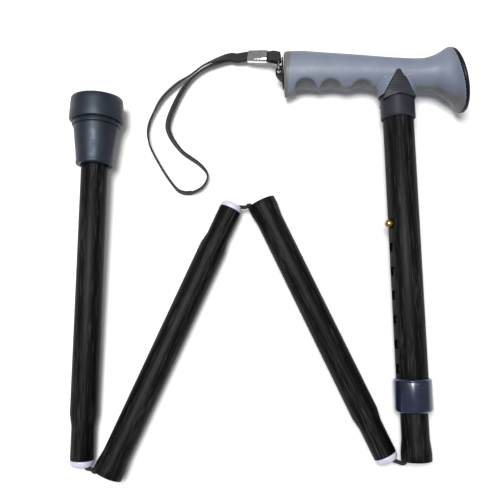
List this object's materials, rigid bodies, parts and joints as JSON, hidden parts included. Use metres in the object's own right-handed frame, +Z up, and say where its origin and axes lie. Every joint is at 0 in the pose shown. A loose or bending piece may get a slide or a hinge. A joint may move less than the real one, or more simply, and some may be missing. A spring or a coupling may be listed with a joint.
{
  "type": "folding walking cane",
  "caption": "Folding walking cane: soft T grip with palm end, snap-button height adjustment with locking collar, tube sections on an elastic cord, rubber tip and wrist strap.",
  "frame": {"origin": "centre of the bounding box on the surface that the cane lies on, measured without the wrist strap", "axes": "the cane lies on its side, partly folded in a W: +Y along the longest side of the W, from the folds towards the handle; +X towards the grip's palm end; +Z up"},
  "size_m": [0.2945, 0.3148, 0.0484],
  "materials": {
    "grip_rubber": "soft matte blue-grey",
    "handle_plastic": "satin, nearly black",
    "black_tube": "satin black coating with fine lengthwise streaks",
    "collar_plastic": "glossy dark navy",
    "nylon": "white",
    "brass": "polished",
    "spring_steel": "plain",
    "chrome": "polished",
    "tip_rubber": "matte dark slate",
    "elastic_cord": "woven sheath",
    "black_tape": "woven"
  },
  "bodies": {
    "handle": {"grip": "grip_rubber", "handle_core": "handle_plastic", "palm_cap": "handle_plastic", "strap_cap": "handle_plastic", "handle_tube": "black_tube", "collet_ring": "nylon"},
    "collar": {"locking_collar": "collar_plastic"},
    "sliding_tube": {"inner_tube": "black_tube", "inner_tube_plug": "nylon", "button_spring": "spring_steel", "upper_anchor_disc": "spring_steel", "upper_cord_stop": "spring_steel", "cord_in_inner_tube": "elastic_cord"},
    "button": {"snap_button": "brass"},
    "fold_1_link": {"cord_bend_1": "elastic_cord"},
    "section_2": {"section_2_tube": "black_tube", "section_2_plug": "nylon", "cord_in_section_2": "elastic_cord"},
    "fold_2_first_link": {"cord_bend_2_socket_side": "elastic_cord"},
    "fold_2_second_link": {"cord_bend_2_plug_side": "elastic_cord"},
    "section_3": {"section_3_tube": "black_tube", "section_3_plug": "nylon", "cord_in_section_3": "elastic_cord"},
    "fold_3_link": {"cord_bend_3": "elastic_cord"},
    "section_4": {"section_4_tube": "black_tube", "section_4_plug": "nylon", "rubber_tip": "tip_rubber", "tip_washer": "spring_steel", "lower_anchor_disc": "spring_steel", "lower_cord_stop": "spring_steel", "cord_in_section_4": "elastic_cord"},
    "ring": {"strap_ring": "spring_steel"},
    "strap": {"strap_end_loop": "black_tape", "strap_clamp": "chrome", "wrist_strap": "black_tape"}
  },
  "joints": [
    {"name": "height_slide", "type": "slide", "parent": "handle", "child": "sliding_tube", "axis": [0.0229, -0.9992, -0.0337], "range_m": [0, 0.102]},
    {"name": "collar_turn", "type": "hinge", "parent": "handle", "child": "collar", "pos_m": [0.0931, 0.1344, 0.021], "axis": [-0.0229, 0.9992, 0.0337], "range_deg": [0, 270]},
    {"name": "button_press", "type": "slide", "parent": "sliding_tube", "child": "button", "axis": [0.9613, 0.0313, -0.2738], "range_m": [0, 0.00565], "stiffness_N_per_m": 500, "springref_m": -0.003, "deforming": ["button_spring"]},
    {"name": "fold_1_socket_side", "type": "hinge", "parent": "sliding_tube", "child": "fold_1_link", "pos_m": [0.09943, -0.14152, 0.0117], "axis": [-0.1178, -0.0362, 0.9924], "range_deg": [0, 87.7], "deforming": ["cord_bend_1"]},
    {"name": "fold_1_plug_side", "type": "hinge", "parent": "fold_1_link", "child": "section_2", "pos_m": [0.08041, -0.14265, 0.0094], "axis": [-0.1161, -0.0619, 0.9913], "range_deg": [-17, 68.11]},
    {"name": "fold_2_socket_side", "type": "hinge", "parent": "section_2", "child": "fold_2_first_link", "pos_m": [-0.00677, 0.04012, 0.0106], "axis": [0.0648, 0.0374, -0.9972], "range_deg": [0, 53.09], "deforming": ["cord_bend_2_socket_side"]},
    {"name": "fold_2_middle", "type": "hinge", "parent": "fold_2_first_link", "child": "fold_2_second_link", "pos_m": [-0.01724, 0.04225, 0.01], "axis": [0.0577, 0.0025, -0.9983], "range_deg": [0, 27.95], "deforming": ["cord_bend_2_plug_side"]},
    {"name": "fold_2_plug_side", "type": "hinge", "parent": "fold_2_second_link", "child": "section_3", "pos_m": [-0.02748, 0.03921, 0.0094], "axis": [0.0695, -0.0373, -0.9969], "range_deg": [-48, 49.5]},
    {"name": "fold_3_socket_side", "type": "hinge", "parent": "section_3", "child": "fold_3_link", "pos_m": [-0.11274, -0.15138, 0.0106], "axis": [-0.1139, 0.0572, 0.9918], "range_deg": [0, 81.41], "deforming": ["cord_bend_3"]},
    {"name": "fold_3_plug_side", "type": "hinge", "parent": "fold_3_link", "child": "section_4", "pos_m": [-0.13111, -0.14632, 0.0082], "axis": [-0.1411, -0.043, 0.9891], "range_deg": [-21, 75.87]},
    {"name": "ring_swing", "type": "hinge", "parent": "handle", "child": "ring", "pos_m": [0.00686, 0.14048, 0.0151], "axis": [0, 0, 1], "range_deg": [0, 60]},
    {"name": "strap_swing", "type": "hinge", "parent": "ring", "child": "strap", "pos_m": [0.00631, 0.14745, 0.0221], "axis": [0, 1, 0], "range_deg": [0, 90], "deforming": ["wrist_strap", "strap_end_loop"]}
  ]
}
